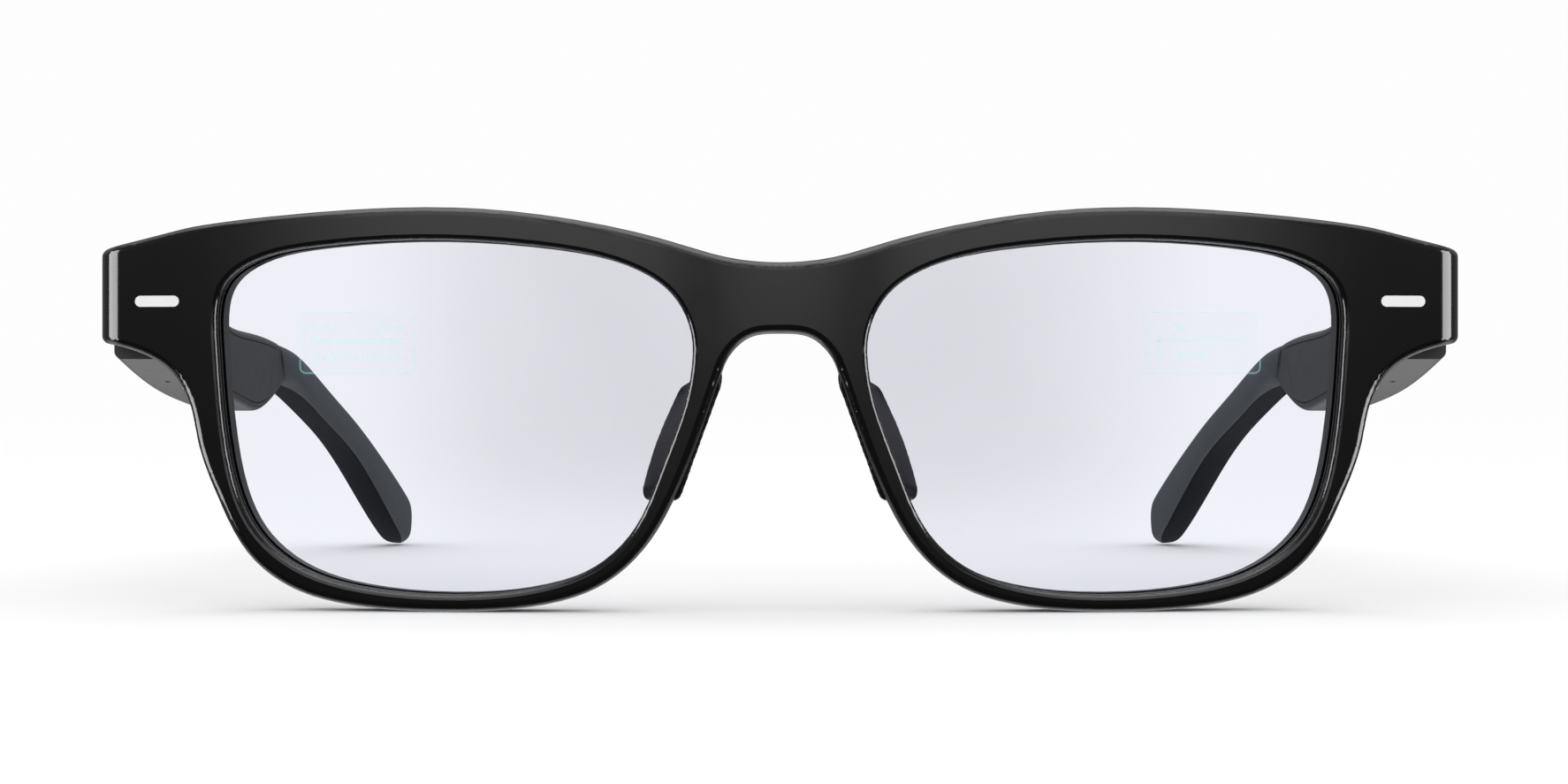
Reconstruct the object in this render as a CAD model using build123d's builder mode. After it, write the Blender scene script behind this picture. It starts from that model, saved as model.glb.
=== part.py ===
"""Smart glasses with two display lenses: a curved front, two folding temples and their electronics.

Frame: +X is the wearer's left, +Y runs from the front to the ear tips, +Z is up. The glasses stand on
their rims and ear tips, and the origin is under the middle of their bounding box. Sizes are in mm.
A depth is a distance behind the foremost point of the front. Pieces that come in pairs are modelled on
the wearer's left, and the right ones are their mirror images.
"""

from build123d import *
from math import asin, atan2, cos, degrees, radians, sin, sqrt, tan
import os

# ---- driving dimensions: front ---------------------------------------------------------------------
OVERALL_LENGTH = 150.0  # face to ear tip
LENS_WIDTH = 53.5  # each opening, temple side to nose side
LENS_HEIGHT = 39.5
LENS_GAP = 19.4  # between the two openings
FRONT_WIDTH = 154.0  # over the end pieces
FACE_RADIUS = 500.0  # wrap of the front, seen from above
RIM_BOTTOM = 1.9
RIM_TOP = 3.65
RIM_SIDE = 2.9
RIM_NOSE = 3.0
BRIDGE_TOP = 6.2  # top of the bridge, below the top of the rims
BRIDGE_HEIGHT = 7.85
END_TOP = 4.6  # top of the end piece at its side, below the top of the rims
END_HEIGHT = 11.0
SHELL_DEPTH = 3.4  # front frame, at the rims
COVER_DEPTH = 2.2  # rear cover behind it
COVER_INSET = 0.2  # between the rear cover's side and the end piece
END_DEPTH = 14.0  # depth at which the end pieces stop and the temples start
END_BLOCK = 9.2  # width of the deep part of an end piece
END_CORNER = 3.6  # corner of the end piece, seen from above
OUTER_FILLET = 0.9
OPENING_FILLET = 0.6
COVER_FILLET = 0.6

# ---- driving dimensions: lens stack ----------------------------------------------------------------
LENS_SETBACK = 1.7  # front of the cover lens behind the face, at the lens's middle
LENS_THICK = 1.0
SEAL_THICK = 0.4
SEAL_WIDTH = 0.8
WAVEGUIDE_THICK = 0.7
LENS_BITE = 0.9  # how far the lens reaches under the rim
FIT_GAP = 0.1
GRATING_WIDTH = 13.0
GRATING_HEIGHT = 7.1
GRATING_THICK = 0.1
GRATING_OUT = 11.0  # from the lens's middle, towards the temple
GRATING_UP = 8.25

# ---- driving dimensions: small pieces in the front -------------------------------------------------
INLAY_LENGTH = 5.1
INLAY_HEIGHT = 1.25
INLAY_DEPTH = 0.8
INLAY_IN = 7.0  # middle of the inlay, from the side of the front
INLAY_DOWN = 5.8  # below the top of the end piece
PROJECTOR_WIDTH = 3.6
PROJECTOR_DEPTH = 2.6
PROJECTOR_HEIGHT = 7.0
FLEX_HEIGHT = 1.2
FLEX_THICK = 0.3
MICROPHONE_WIDTH = 2.6
MICROPHONE_DEPTH = 0.9
MICROPHONE_HEIGHT = 1.6
MICROPHONE_PORT = 0.35
BRIDGE_MICROPHONE_X = 3.2

# ---- driving dimensions: nose pads -----------------------------------------------------------------
PAD_LENGTH = 14.6
PAD_THICK_FRONT = 2.3
PAD_THICK_REAR = 1.9
PAD_DEPTH = 8.6
PAD_MIDDLE_Z = 19.0
PAD_LEAN = 20.0  # from vertical, seen from the front
PAD_FLARE = 2.4  # how much further out the rear edge stands
CLIP_THICK = 0.6
CLIP_HEIGHT = 5.0
CLIP_IN_PAD = 3.4
CLIP_IN_COVER = 1.2

# ---- driving dimensions: hinge ---------------------------------------------------------------------
HINGE_IN = 7.0  # axis of the hinge, from the side of the front
HINGE_BEHIND = 1.5  # behind the seam between end piece and temple
HINGE_HEIGHT = 7.5
KNUCKLE_RADIUS = 1.7
KNUCKLE_GAP = 0.08
PIN_RADIUS = 0.7
PIN_CLEARANCE = 0.03
PIN_HEAD_RADIUS = 1.15
PIN_HEAD_HEIGHT = 0.5
LEAF_THICK = 1.2
LEAF_LENGTH = 5.2  # from the axis to the end of a leaf
HINGE_CLEARANCE = 0.3
SCREW_RADIUS = 0.5
SCREW_HEAD_RADIUS = 0.9
SCREW_HEAD_HEIGHT = 0.5
SCREW_LENGTH = 2.4

# ---- driving dimensions: temples -------------------------------------------------------------------
TEMPLE_GAP = 0.2  # seam between end piece and temple
TEMPLE_THICK = 7.8
TEMPLE_DROP = 1.0  # top of the temple at the seam, below the top of the end piece
HOUSING_LENGTH = 54.0  # from the seam at the end piece to the seam at the ear tip, along the top
HOUSING_END_THICK = 5.4
SEAM_TILT = 37.5  # seam at the ear tip, from vertical
BULGE_DEPTH = 6.2  # lowest point of the housing, below its underside at the end piece
EAR_DROP = 27.1  # how far the ear tip's end stands below the top of the housing's end
EAR_THICK = 3.8
EAR_HEIGHT = 5.4
TIP_RADIUS = 4.0
TIP_SLOPE = 19.5  # upper edge at the tip, below level
TIP_THICK = 5.0
TIP_INWARD = 7.0  # how far the tip bends inwards
SLOPE_LENGTH = 22.0  # straight stretch of the upper edge behind the end piece
SLOPE_END_RISE = 2.5  # its lower end, above the top of the housing's end
WALL = 1.1
COVER_THICK = 1.1
COVER_RIM = 1.0  # rim of the shell round the inner cover
LEDGE = 0.5  # ledge that the inner cover lies on
HOUSING_FILLET = 0.9
EAR_FILLET = 1.2
EAR_BEND = 3.0  # inwards from the housing's front, two fifths along the ear tip
COVER_START = 10.4  # front edge of the inner cover, behind the seam at the end piece
CORE_THICK = 1.0
CORE_HEIGHT = 2.2
CORE_MARGIN = 5.0  # ear tip left solid past the core's end

# ---- driving dimensions: pieces in the temples -----------------------------------------------------
BOARD_THICK = 0.8
BATTERY_LENGTH = 19.0
BATTERY_THICK = 3.0
SPEAKER_LENGTH = 11.0
SPEAKER_THICK = 3.0
SPEAKER_HEIGHT = 4.6
GRILLE_LENGTH = 8.0
GRILLE_WIDTH = 1.6
GRILLE_HOLE = 0.3
TOUCH_LENGTH = 22.0
TOUCH_THICK = 0.2
CONTACT_RADIUS = 0.9
CONTACT_PITCH = 3.0
CONTACT_PROUD = 0.1
BUTTON_LENGTH = 7.0
BUTTON_WIDTH = 2.4
BUTTON_PROUD = 0.6
BUTTON_TRAVEL = 0.4
BUTTON_CLEARANCE = 0.15
BUTTON_FLANGE = 0.5
SWITCH_HEIGHT = 0.8

# ---- places that follow from the dimensions --------------------------------------------------------
FACE_Y = -OVERALL_LENGTH / 2
LENS_X = (LENS_GAP + LENS_WIDTH) / 2
LENS_Z = RIM_BOTTOM + LENS_HEIGHT / 2
FRONT_TOP = RIM_BOTTOM + LENS_HEIGHT + RIM_TOP
SIDE_X = FRONT_WIDTH / 2
END_INNER_X = SIDE_X - END_BLOCK
END_TOP_Z = FRONT_TOP - END_TOP
END_BOTTOM_Z = END_TOP_Z - END_HEIGHT
BRIDGE_UNDER = FRONT_TOP - BRIDGE_TOP - BRIDGE_HEIGHT
REAR_DEPTH = SHELL_DEPTH + COVER_DEPTH
HINGE_X = SIDE_X - HINGE_IN
HINGE_DEPTH = END_DEPTH + HINGE_BEHIND
HINGE_Z = (END_TOP_Z + END_BOTTOM_Z) / 2 - 0.6
LENS_WRAP = degrees(asin(LENS_X / FACE_RADIUS))


def at_depth(depth):
    """Y of a distance behind the foremost point of the front."""
    return FACE_Y + depth


def across(depth):
    """A plane across the glasses at a depth, facing forwards, with X to the right and Z up."""
    return Plane.XZ.offset(-at_depth(depth))


def face_depth(x, behind=0.0):
    """Depth of the curved face, or of a surface parallel to it and behind it, at a distance from the middle."""
    return FACE_RADIUS - sqrt((FACE_RADIUS - behind) ** 2 - x**2)


LENS_PLANE = Plane(
    origin=(LENS_X, at_depth(face_depth(LENS_X)), LENS_Z),
    x_dir=(cos(radians(LENS_WRAP)), sin(radians(LENS_WRAP)), 0),
    z_dir=(sin(radians(LENS_WRAP)), -cos(radians(LENS_WRAP)), 0),
)


def both_sides(piece):
    """A piece and its mirror image on the other side of the glasses."""
    return [piece, mirror(piece, about=Plane.YZ)]


def write_piece(piece, name):
    """Name a finished piece and write its file."""
    piece.label = name
    export_step(piece, f"parts/{name}.step")


def write_pair(piece, name):
    """Write a piece for the wearer's left and its mirror image for the right."""
    left, right = both_sides(piece)
    write_piece(left, f"left_{name}")
    write_piece(right, f"right_{name}")


os.makedirs("parts", exist_ok=True)

# ---- outlines of the front -------------------------------------------------------------------------
# The opening, as shares of half the lens's width and height from its middle, anticlockwise from the nose.
OPENING_SHARES = [
    (-1.0, 0.36),
    (-0.97, 0.09),
    (-0.87, -0.29),
    (-0.77, -0.60),
    (-0.615, -0.82),
    (-0.36, -0.955),
    (0.0, -1.0),
    (0.36, -0.965),
    (0.64, -0.855),
    (0.83, -0.65),
    (0.96, -0.16),
    (1.0, 0.42),
    (0.965, 0.76),
    (0.83, 0.89),
    (0.60, 0.96),
    (0.15, 1.0),
    (-0.38, 0.957),
    (-0.73, 0.85),
    (-0.92, 0.68),
]

# The lower outline of the front from the end piece round the rim to the bridge, as shares of the half
# width and height of the lens with its rim.
RIM_SHARES = [
    (0.978, -0.113),
    (0.895, -0.427),
    (0.772, -0.72),
    (0.609, -0.885),
    (0.36, -0.975),
    (0.0, -1.0),
    (-0.34, -0.965),
    (-0.556, -0.866),
    (-0.714, -0.681),
    (-0.825, -0.427),
    (-0.952, 0.015),
]


def rim_point(across_share, up_share):
    """A point on the outline of the rim."""
    side = RIM_SIDE if across_share > 0 else RIM_NOSE
    end = RIM_TOP if up_share > 0 else RIM_BOTTOM
    x = LENS_X + across_share * (LENS_WIDTH / 2 + side)
    z = LENS_Z + up_share * (LENS_HEIGHT / 2 + end)
    return (x, z)


def top_points(down):
    """The brow line from the middle of the bridge to the side, moved down."""
    bridge_z = FRONT_TOP - BRIDGE_TOP
    over_lens = LENS_X + LENS_WIDTH * 0.1
    return [
        (0, bridge_z - down),
        (over_lens * 0.143, bridge_z + BRIDGE_TOP * 0.094 - down),
        (over_lens * 0.286, bridge_z + BRIDGE_TOP * 0.368 - down),
        (over_lens * 0.57, FRONT_TOP - BRIDGE_TOP * 0.206 - down),
        (over_lens, FRONT_TOP - down),
        (SIDE_X - 11.2, FRONT_TOP - END_TOP * 0.433 - down),
        (SIDE_X, FRONT_TOP - END_TOP - down),
    ]


with BuildSketch() as front_outline:
    with BuildLine():
        brow = Spline(*top_points(0), tangents=[(1, 0), (1, -0.23)])
        side_bottom = Vector(SIDE_X, END_BOTTOM_Z + 0.6)
        Line(brow @ 1, side_bottom)
        nose_side = Spline(
            side_bottom,
            (SIDE_X - 3.1, END_BOTTOM_Z),
            (SIDE_X - 5.8, END_BOTTOM_Z - 0.95),
            (SIDE_X - 8.8, END_BOTTOM_Z - 3.0),
            (SIDE_X - 10.9, END_BOTTOM_Z - 7.05),
            *[rim_point(*share) for share in RIM_SHARES],
            (LENS_GAP / 2 - 3.4, BRIDGE_UNDER - 3.7),
        )
        under_bridge = Spline(
            nose_side @ 1,
            (LENS_GAP / 2 - 4.6, BRIDGE_UNDER - 1.75),
            (LENS_GAP / 2 - 6.4, BRIDGE_UNDER - 0.4),
            (0, BRIDGE_UNDER),
            tangents=[nose_side % 1, (-1, 0)],
            tangent_scalars=[1, 1],
        )
        Line(under_bridge @ 1, brow @ 0)
    make_face()
    mirror(about=Plane.YZ)


def plan_band(front, back, half_width):
    """A sketch, seen from above, of the band between two surfaces parallel to the face."""
    with BuildSketch(Plane.XY) as band:
        with BuildLine():
            near = ThreePointArc(
                (-half_width, at_depth(face_depth(half_width, front))),
                (0, at_depth(front)),
                (half_width, at_depth(face_depth(half_width, front))),
            )
            far = ThreePointArc(
                (-half_width, at_depth(face_depth(half_width, back))),
                (0, at_depth(back)),
                (half_width, at_depth(face_depth(half_width, back))),
            )
            Line(near @ 0, far @ 0)
            Line(near @ 1, far @ 1)
        make_face()
    return band.sketch


def curved_slab(front, back, half_width=SIDE_X):
    """The space between two surfaces parallel to the face."""
    with BuildPart() as slab:
        extrude(plan_band(front, back, half_width), amount=FRONT_TOP * 2, both=True)
    return slab.part


def lens_prism(grow, front, back):
    """A plate with the outline of the left opening, grown all round, between two depths behind the lens plane."""
    with BuildPart() as prism:
        with BuildSketch(LENS_PLANE.offset(-back)):
            with BuildLine():
                half_width = LENS_WIDTH / 2 + grow
                half_height = LENS_HEIGHT / 2 + grow
                Spline(*[(u * half_width, v * half_height) for u, v in OPENING_SHARES], periodic=True)
            make_face()
        extrude(amount=back - front)
    return prism.part


def box_between(x, depth, z):
    """A box between two values of X, of depth and of Z."""
    size = (x[1] - x[0], depth[1] - depth[0], z[1] - z[0])
    middle = ((x[0] + x[1]) / 2, at_depth((depth[0] + depth[1]) / 2), (z[0] + z[1]) / 2)
    with BuildPart(Plane(origin=middle)) as block:
        Box(*size)
    return block.part


# ---- places inside the front -----------------------------------------------------------------------
SEAL_FRONT = LENS_SETBACK + LENS_THICK
WAVEGUIDE_FRONT = SEAL_FRONT + SEAL_THICK
STACK_BACK = WAVEGUIDE_FRONT + WAVEGUIDE_THICK
OPEN_FRONT = -2.0  # the opening's cut starts this far in front of the lens plane
OPEN_BACK = REAR_DEPTH + 4.0

PROJECTOR_Z = LENS_Z + LENS_HEIGHT * 0.34
PROJECTOR_FRONT = face_depth(END_INNER_X) + LENS_SETBACK + 0.4
PROJECTOR_X = (LENS_X + LENS_WIDTH / 2 + LENS_BITE + 2 * FIT_GAP, END_INNER_X + 1.4)

projector_space = box_between(
    (PROJECTOR_X[0] - 1.0, PROJECTOR_X[1] + FIT_GAP),
    (PROJECTOR_FRONT - FIT_GAP, PROJECTOR_FRONT + PROJECTOR_DEPTH + FIT_GAP),
    (PROJECTOR_Z - PROJECTOR_HEIGHT / 2 - FIT_GAP, PROJECTOR_Z + PROJECTOR_HEIGHT / 2 + FIT_GAP),
)
opening = lens_prism(0, OPEN_FRONT, OPEN_BACK)
stack_pocket = lens_prism(LENS_BITE + FIT_GAP, LENS_SETBACK, STACK_BACK + FIT_GAP)


def flex_band(front, back, margin):
    """The flat cable's strip under the brow line, between two surfaces parallel to the face."""
    with BuildPart() as strip:
        with BuildSketch(across(END_DEPTH)):
            with BuildLine():
                upper = Spline(*top_points(WALL - margin), tangents=[(1, 0), (1, -0.23)])
                lower = Spline(*top_points(WALL + FLEX_HEIGHT + margin), tangents=[(1, 0), (1, -0.23)])
                Line(upper @ 0, lower @ 0)
                Line(upper @ 1, lower @ 1)
            make_face()
            mirror(about=Plane.YZ)
        extrude(amount=END_DEPTH)
        add(curved_slab(front, back, END_INNER_X + margin), mode=Mode.INTERSECT)
    return strip.part


# ---- hinge -----------------------------------------------------------------------------------------
HINGE_PLANE = Plane(origin=(HINGE_X, at_depth(HINGE_DEPTH), HINGE_Z))
KNUCKLE_HEIGHT = HINGE_HEIGHT / 3
LEAF_OUTER_X = HINGE_X + LEAF_THICK / 2


def hinge_barrel(height, middle, grow=0.0):
    """A round barrel on the hinge's axis, with its middle at a height from the hinge's middle."""
    with BuildPart(HINGE_PLANE.offset(middle)) as barrel:
        Cylinder(KNUCKLE_RADIUS + grow, height)
    return barrel.part


def leaf_plate(towards_rear, grow=0.0):
    """A flat hinge leaf that runs from the axis to the front or to the rear."""
    if towards_rear:
        depth = (HINGE_DEPTH - grow, HINGE_DEPTH + LEAF_LENGTH + grow)
    else:
        depth = (HINGE_DEPTH - LEAF_LENGTH - grow, HINGE_DEPTH + grow)
    x = (HINGE_X - LEAF_THICK / 2 - grow, LEAF_OUTER_X)
    z = (HINGE_Z - HINGE_HEIGHT / 2 - grow, HINGE_Z + HINGE_HEIGHT / 2 + grow)
    return box_between(x, depth, z)


def leaf_screws(depth, grow=0.0):
    """Two flat-headed screws through a leaf at a depth, driven outwards from its inner side."""
    head_x = HINGE_X - LEAF_THICK / 2 - SCREW_HEAD_HEIGHT
    with BuildPart() as screws:
        for z in (HINGE_Z - HINGE_HEIGHT / 4, HINGE_Z + HINGE_HEIGHT / 4):
            with BuildSketch(Plane(origin=(head_x, at_depth(depth), z), z_dir=(1, 0, 0))):
                Circle(SCREW_HEAD_RADIUS)
            extrude(amount=SCREW_HEAD_HEIGHT)
            with BuildSketch(Plane(origin=(head_x, at_depth(depth), z), z_dir=(1, 0, 0))):
                Circle(SCREW_RADIUS + grow)
            extrude(amount=SCREW_HEAD_HEIGHT + LEAF_THICK + SCREW_LENGTH)
    return screws.part


FRONT_SCREW_DEPTH = HINGE_DEPTH - LEAF_LENGTH + 1.5
REAR_SCREW_DEPTH = HINGE_DEPTH + LEAF_LENGTH - 1.5
front_screws = leaf_screws(FRONT_SCREW_DEPTH)
temple_screws = leaf_screws(REAR_SCREW_DEPTH)

with BuildPart(HINGE_PLANE.offset(-HINGE_HEIGHT / 2)) as hinge_pin:
    Cylinder(PIN_RADIUS, HINGE_HEIGHT, align=(Align.CENTER, Align.CENTER, Align.MIN))
    with Locations((0, 0, HINGE_HEIGHT)):
        Cylinder(PIN_HEAD_RADIUS, PIN_HEAD_HEIGHT, align=(Align.CENTER, Align.CENTER, Align.MIN))
pin_hole = hinge_barrel(HINGE_HEIGHT * 2, 0, PIN_RADIUS + PIN_CLEARANCE - KNUCKLE_RADIUS)

with BuildPart() as hinge_front_leaf:
    add(leaf_plate(False))
    add(hinge_barrel(HINGE_HEIGHT, 0))
    middle_gap = KNUCKLE_HEIGHT + 2 * KNUCKLE_GAP
    add(hinge_barrel(middle_gap, 0, HINGE_CLEARANCE), mode=Mode.SUBTRACT)
    add(pin_hole, mode=Mode.SUBTRACT)
    add(leaf_screws(FRONT_SCREW_DEPTH), mode=Mode.SUBTRACT)

with BuildPart() as hinge_temple_leaf:
    add(leaf_plate(True))
    for side in (-1, 1):
        outer_knuckle = hinge_barrel(HINGE_HEIGHT, side * (HINGE_HEIGHT + KNUCKLE_HEIGHT) / 2, HINGE_CLEARANCE)
        add(outer_knuckle, mode=Mode.SUBTRACT)
    add(hinge_barrel(KNUCKLE_HEIGHT, 0))
    add(pin_hole, mode=Mode.SUBTRACT)
    add(leaf_screws(REAR_SCREW_DEPTH), mode=Mode.SUBTRACT)

# ---- nose pads -------------------------------------------------------------------------------------
PAD_FRONT = REAR_DEPTH + 0.3
PAD_MIDDLE_X = LENS_GAP / 2 + 0.2


def pad_slot(depth, out, length, thick):
    """The section of a nose pad at a depth."""
    with BuildSketch(across(depth)) as section:
        with Locations(Location((PAD_MIDDLE_X + out, PAD_MIDDLE_Z), 90 + PAD_LEAN)):
            SlotOverall(length, thick)
    return section.sketch


def pad_clip(grow):
    """The flat metal clip that holds a nose pad."""
    with BuildPart() as clip:
        with BuildSketch(across(PAD_FRONT - CLIP_IN_COVER)):
            with Locations(Location((PAD_MIDDLE_X + PAD_FLARE * 0.15, PAD_MIDDLE_Z), 90 + PAD_LEAN)):
                Rectangle(CLIP_HEIGHT + 2 * grow, CLIP_THICK + 2 * grow)
        extrude(amount=-(CLIP_IN_COVER + CLIP_IN_PAD))
    return clip.part


with BuildPart() as nose_pad:
    front_section = pad_slot(PAD_FRONT, 0, PAD_LENGTH, PAD_THICK_FRONT)
    rear_section = pad_slot(PAD_FRONT + PAD_DEPTH, PAD_FLARE, PAD_LENGTH * 0.9, PAD_THICK_REAR)
    loft([front_section, rear_section])
    fillet(nose_pad.faces().sort_by(Axis.Y)[-1].edges(), radius=PAD_THICK_REAR * 0.2)
    add(pad_clip(0), mode=Mode.SUBTRACT)

# ---- the front frame -------------------------------------------------------------------------------
with BuildPart() as end_piece_inlay:
    with BuildSketch(across(END_DEPTH)):
        with Locations((SIDE_X - INLAY_IN, END_TOP_Z - INLAY_DOWN)):
            SlotOverall(INLAY_LENGTH, INLAY_HEIGHT)
    extrude(amount=END_DEPTH)
    add(curved_slab(0.03, INLAY_DEPTH), mode=Mode.INTERSECT)

with BuildPart() as inlay_pocket:
    with BuildSketch(across(END_DEPTH)):
        with Locations((SIDE_X - INLAY_IN, END_TOP_Z - INLAY_DOWN)):
            SlotOverall(INLAY_LENGTH, INLAY_HEIGHT)
    extrude(amount=END_DEPTH)
    add(curved_slab(-0.5, INLAY_DEPTH), mode=Mode.INTERSECT)

with BuildPart() as bridge_microphones:
    with Locations((-BRIDGE_MICROPHONE_X, 0, 0), (BRIDGE_MICROPHONE_X, 0, 0)):
        add(
            box_between(
                (-MICROPHONE_WIDTH / 2, MICROPHONE_WIDTH / 2),
                (SHELL_DEPTH - MICROPHONE_DEPTH - 0.1, SHELL_DEPTH - 0.1),
                (BRIDGE_UNDER + WALL, BRIDGE_UNDER + WALL + MICROPHONE_HEIGHT),
            )
        )

with BuildPart() as front_frame:
    with BuildSketch(Plane.XY):
        with BuildLine():
            face = ThreePointArc(
                (-SIDE_X, at_depth(face_depth(SIDE_X))),
                (0, FACE_Y),
                (SIDE_X, at_depth(face_depth(SIDE_X))),
            )
            inner = ThreePointArc(
                (-END_INNER_X, at_depth(face_depth(END_INNER_X, SHELL_DEPTH))),
                (0, at_depth(SHELL_DEPTH)),
                (END_INNER_X, at_depth(face_depth(END_INNER_X, SHELL_DEPTH))),
            )
            for side, start in ((-1, 0), (1, 1)):
                Line(face @ start, (side * SIDE_X, at_depth(END_DEPTH)))
                Line((side * SIDE_X, at_depth(END_DEPTH)), (side * END_INNER_X, at_depth(END_DEPTH)))
                Line((side * END_INNER_X, at_depth(END_DEPTH)), inner @ start)
        make_face()
        corners = [v for v in vertices() if abs(abs(v.X) - SIDE_X) < 0.01 and v.Y < at_depth(END_DEPTH - 1)]
        fillet(corners, radius=END_CORNER)
    extrude(amount=FRONT_TOP * 2, both=True)
    with BuildSketch(across(END_DEPTH)):
        add(front_outline.sketch)
    extrude(amount=END_DEPTH, mode=Mode.INTERSECT)
    split(bisect_by=Plane.YZ)
    add(opening, mode=Mode.SUBTRACT)
    face_surface = front_frame.faces().filter_by(GeomType.CYLINDER).filter_by(
        lambda surface: abs(surface.radius - FACE_RADIUS) < 0.01
    )
    rim_edges = face_surface.edges().filter_by(Axis.Z, reverse=True)
    opening_edge = rim_edges.sort_by(lambda edge: edge.is_closed)[-1]
    fillet([edge for edge in rim_edges if edge is not opening_edge], radius=OUTER_FILLET)
    fillet(opening_edge, radius=OPENING_FILLET)
    add(stack_pocket, mode=Mode.SUBTRACT)
    add(projector_space, mode=Mode.SUBTRACT)
    add(inlay_pocket.part, mode=Mode.SUBTRACT)
    add(flex_band(SHELL_DEPTH - FLEX_THICK - FIT_GAP, SHELL_DEPTH + FIT_GAP, FIT_GAP), mode=Mode.SUBTRACT)
    add(leaf_plate(False, HINGE_CLEARANCE), mode=Mode.SUBTRACT)
    add(hinge_barrel(HINGE_HEIGHT + 2, 0, HINGE_CLEARANCE), mode=Mode.SUBTRACT)
    add(front_screws, mode=Mode.SUBTRACT)
    mirror(about=Plane.YZ)
    add(bridge_microphones.part, mode=Mode.SUBTRACT)

# ---- rear cover ------------------------------------------------------------------------------------
with BuildPart() as frame_rear_cover:
    with BuildSketch(across(END_DEPTH)):
        add(front_outline.sketch)
    extrude(amount=END_DEPTH)
    add(curved_slab(SHELL_DEPTH, REAR_DEPTH, END_INNER_X - COVER_INSET), mode=Mode.INTERSECT)
    split(bisect_by=Plane.YZ)
    add(opening, mode=Mode.SUBTRACT)
    add(stack_pocket, mode=Mode.SUBTRACT)
    add(projector_space, mode=Mode.SUBTRACT)
    add(pad_clip(0), mode=Mode.SUBTRACT)
    with BuildSketch(across(REAR_DEPTH + 1)):
        with Locations((BRIDGE_MICROPHONE_X, BRIDGE_UNDER + WALL + MICROPHONE_HEIGHT / 2)):
            Circle(MICROPHONE_PORT)
    extrude(amount=COVER_DEPTH + 1, mode=Mode.SUBTRACT)
    mirror(about=Plane.YZ)

# ---- lens stack and projector ----------------------------------------------------------------------
lens = lens_prism(LENS_BITE, LENS_SETBACK, SEAL_FRONT)
waveguide = lens_prism(LENS_BITE, WAVEGUIDE_FRONT, STACK_BACK)
lens_seal = lens_prism(LENS_BITE, SEAL_FRONT, WAVEGUIDE_FRONT) - lens_prism(
    LENS_BITE - SEAL_WIDTH, SEAL_FRONT - 1, WAVEGUIDE_FRONT + 1
)

with BuildPart() as display_grating:
    with BuildSketch(LENS_PLANE.offset(-WAVEGUIDE_FRONT)):
        with Locations((GRATING_OUT, GRATING_UP)):
            Rectangle(GRATING_WIDTH, GRATING_HEIGHT)
    extrude(amount=GRATING_THICK)

with BuildPart() as display_projector:
    body_x = PROJECTOR_X[1] - PROJECTOR_WIDTH
    projector_depth = (PROJECTOR_FRONT, PROJECTOR_FRONT + PROJECTOR_DEPTH)
    projector_z = (PROJECTOR_Z - PROJECTOR_HEIGHT / 2, PROJECTOR_Z + PROJECTOR_HEIGHT / 2)
    add(box_between((body_x, PROJECTOR_X[1]), projector_depth, projector_z))
    with BuildSketch(
        Plane(
            origin=(body_x, at_depth(PROJECTOR_FRONT + PROJECTOR_DEPTH / 2), PROJECTOR_Z),
            z_dir=(-1, 0, 0),
        )
    ):
        Circle(PROJECTOR_DEPTH * 0.4)
    extrude(amount=body_x - PROJECTOR_X[0])
    add(stack_pocket, mode=Mode.SUBTRACT)

bridge_flex = flex_band(SHELL_DEPTH - FLEX_THICK - FIT_GAP / 2, SHELL_DEPTH - FIT_GAP / 2, 0)

# ---- outlines of the temple ------------------------------------------------------------------------
TEMPLE_START = END_DEPTH + TEMPLE_GAP
TEMPLE_OUTER_X = SIDE_X - 0.1
TEMPLE_INNER_X = TEMPLE_OUTER_X - TEMPLE_THICK
HOUSING_END = TEMPLE_START + HOUSING_LENGTH
TIP_DEPTH = OVERALL_LENGTH - TIP_RADIUS
HOUSING_TOP_Z = END_TOP_Z - TEMPLE_DROP
HOUSING_UNDER_Z = END_BOTTOM_Z - 1.2
EAR_TOP_Z = EAR_DROP + TIP_RADIUS


def along(share):
    """Depth at a share of the housing's length."""
    return TEMPLE_START + share * HOUSING_LENGTH


def ear_along(share):
    """Depth at a share of the ear tip's length, to the middle of its round end."""
    return HOUSING_END + share * (TIP_DEPTH - HOUSING_END)


def ear_top(share):
    """Height of the ear tip's upper edge at a share of its length."""
    return TIP_RADIUS + EAR_DROP * (1 - 0.24 * share - 0.63 * share**1.7)


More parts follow.
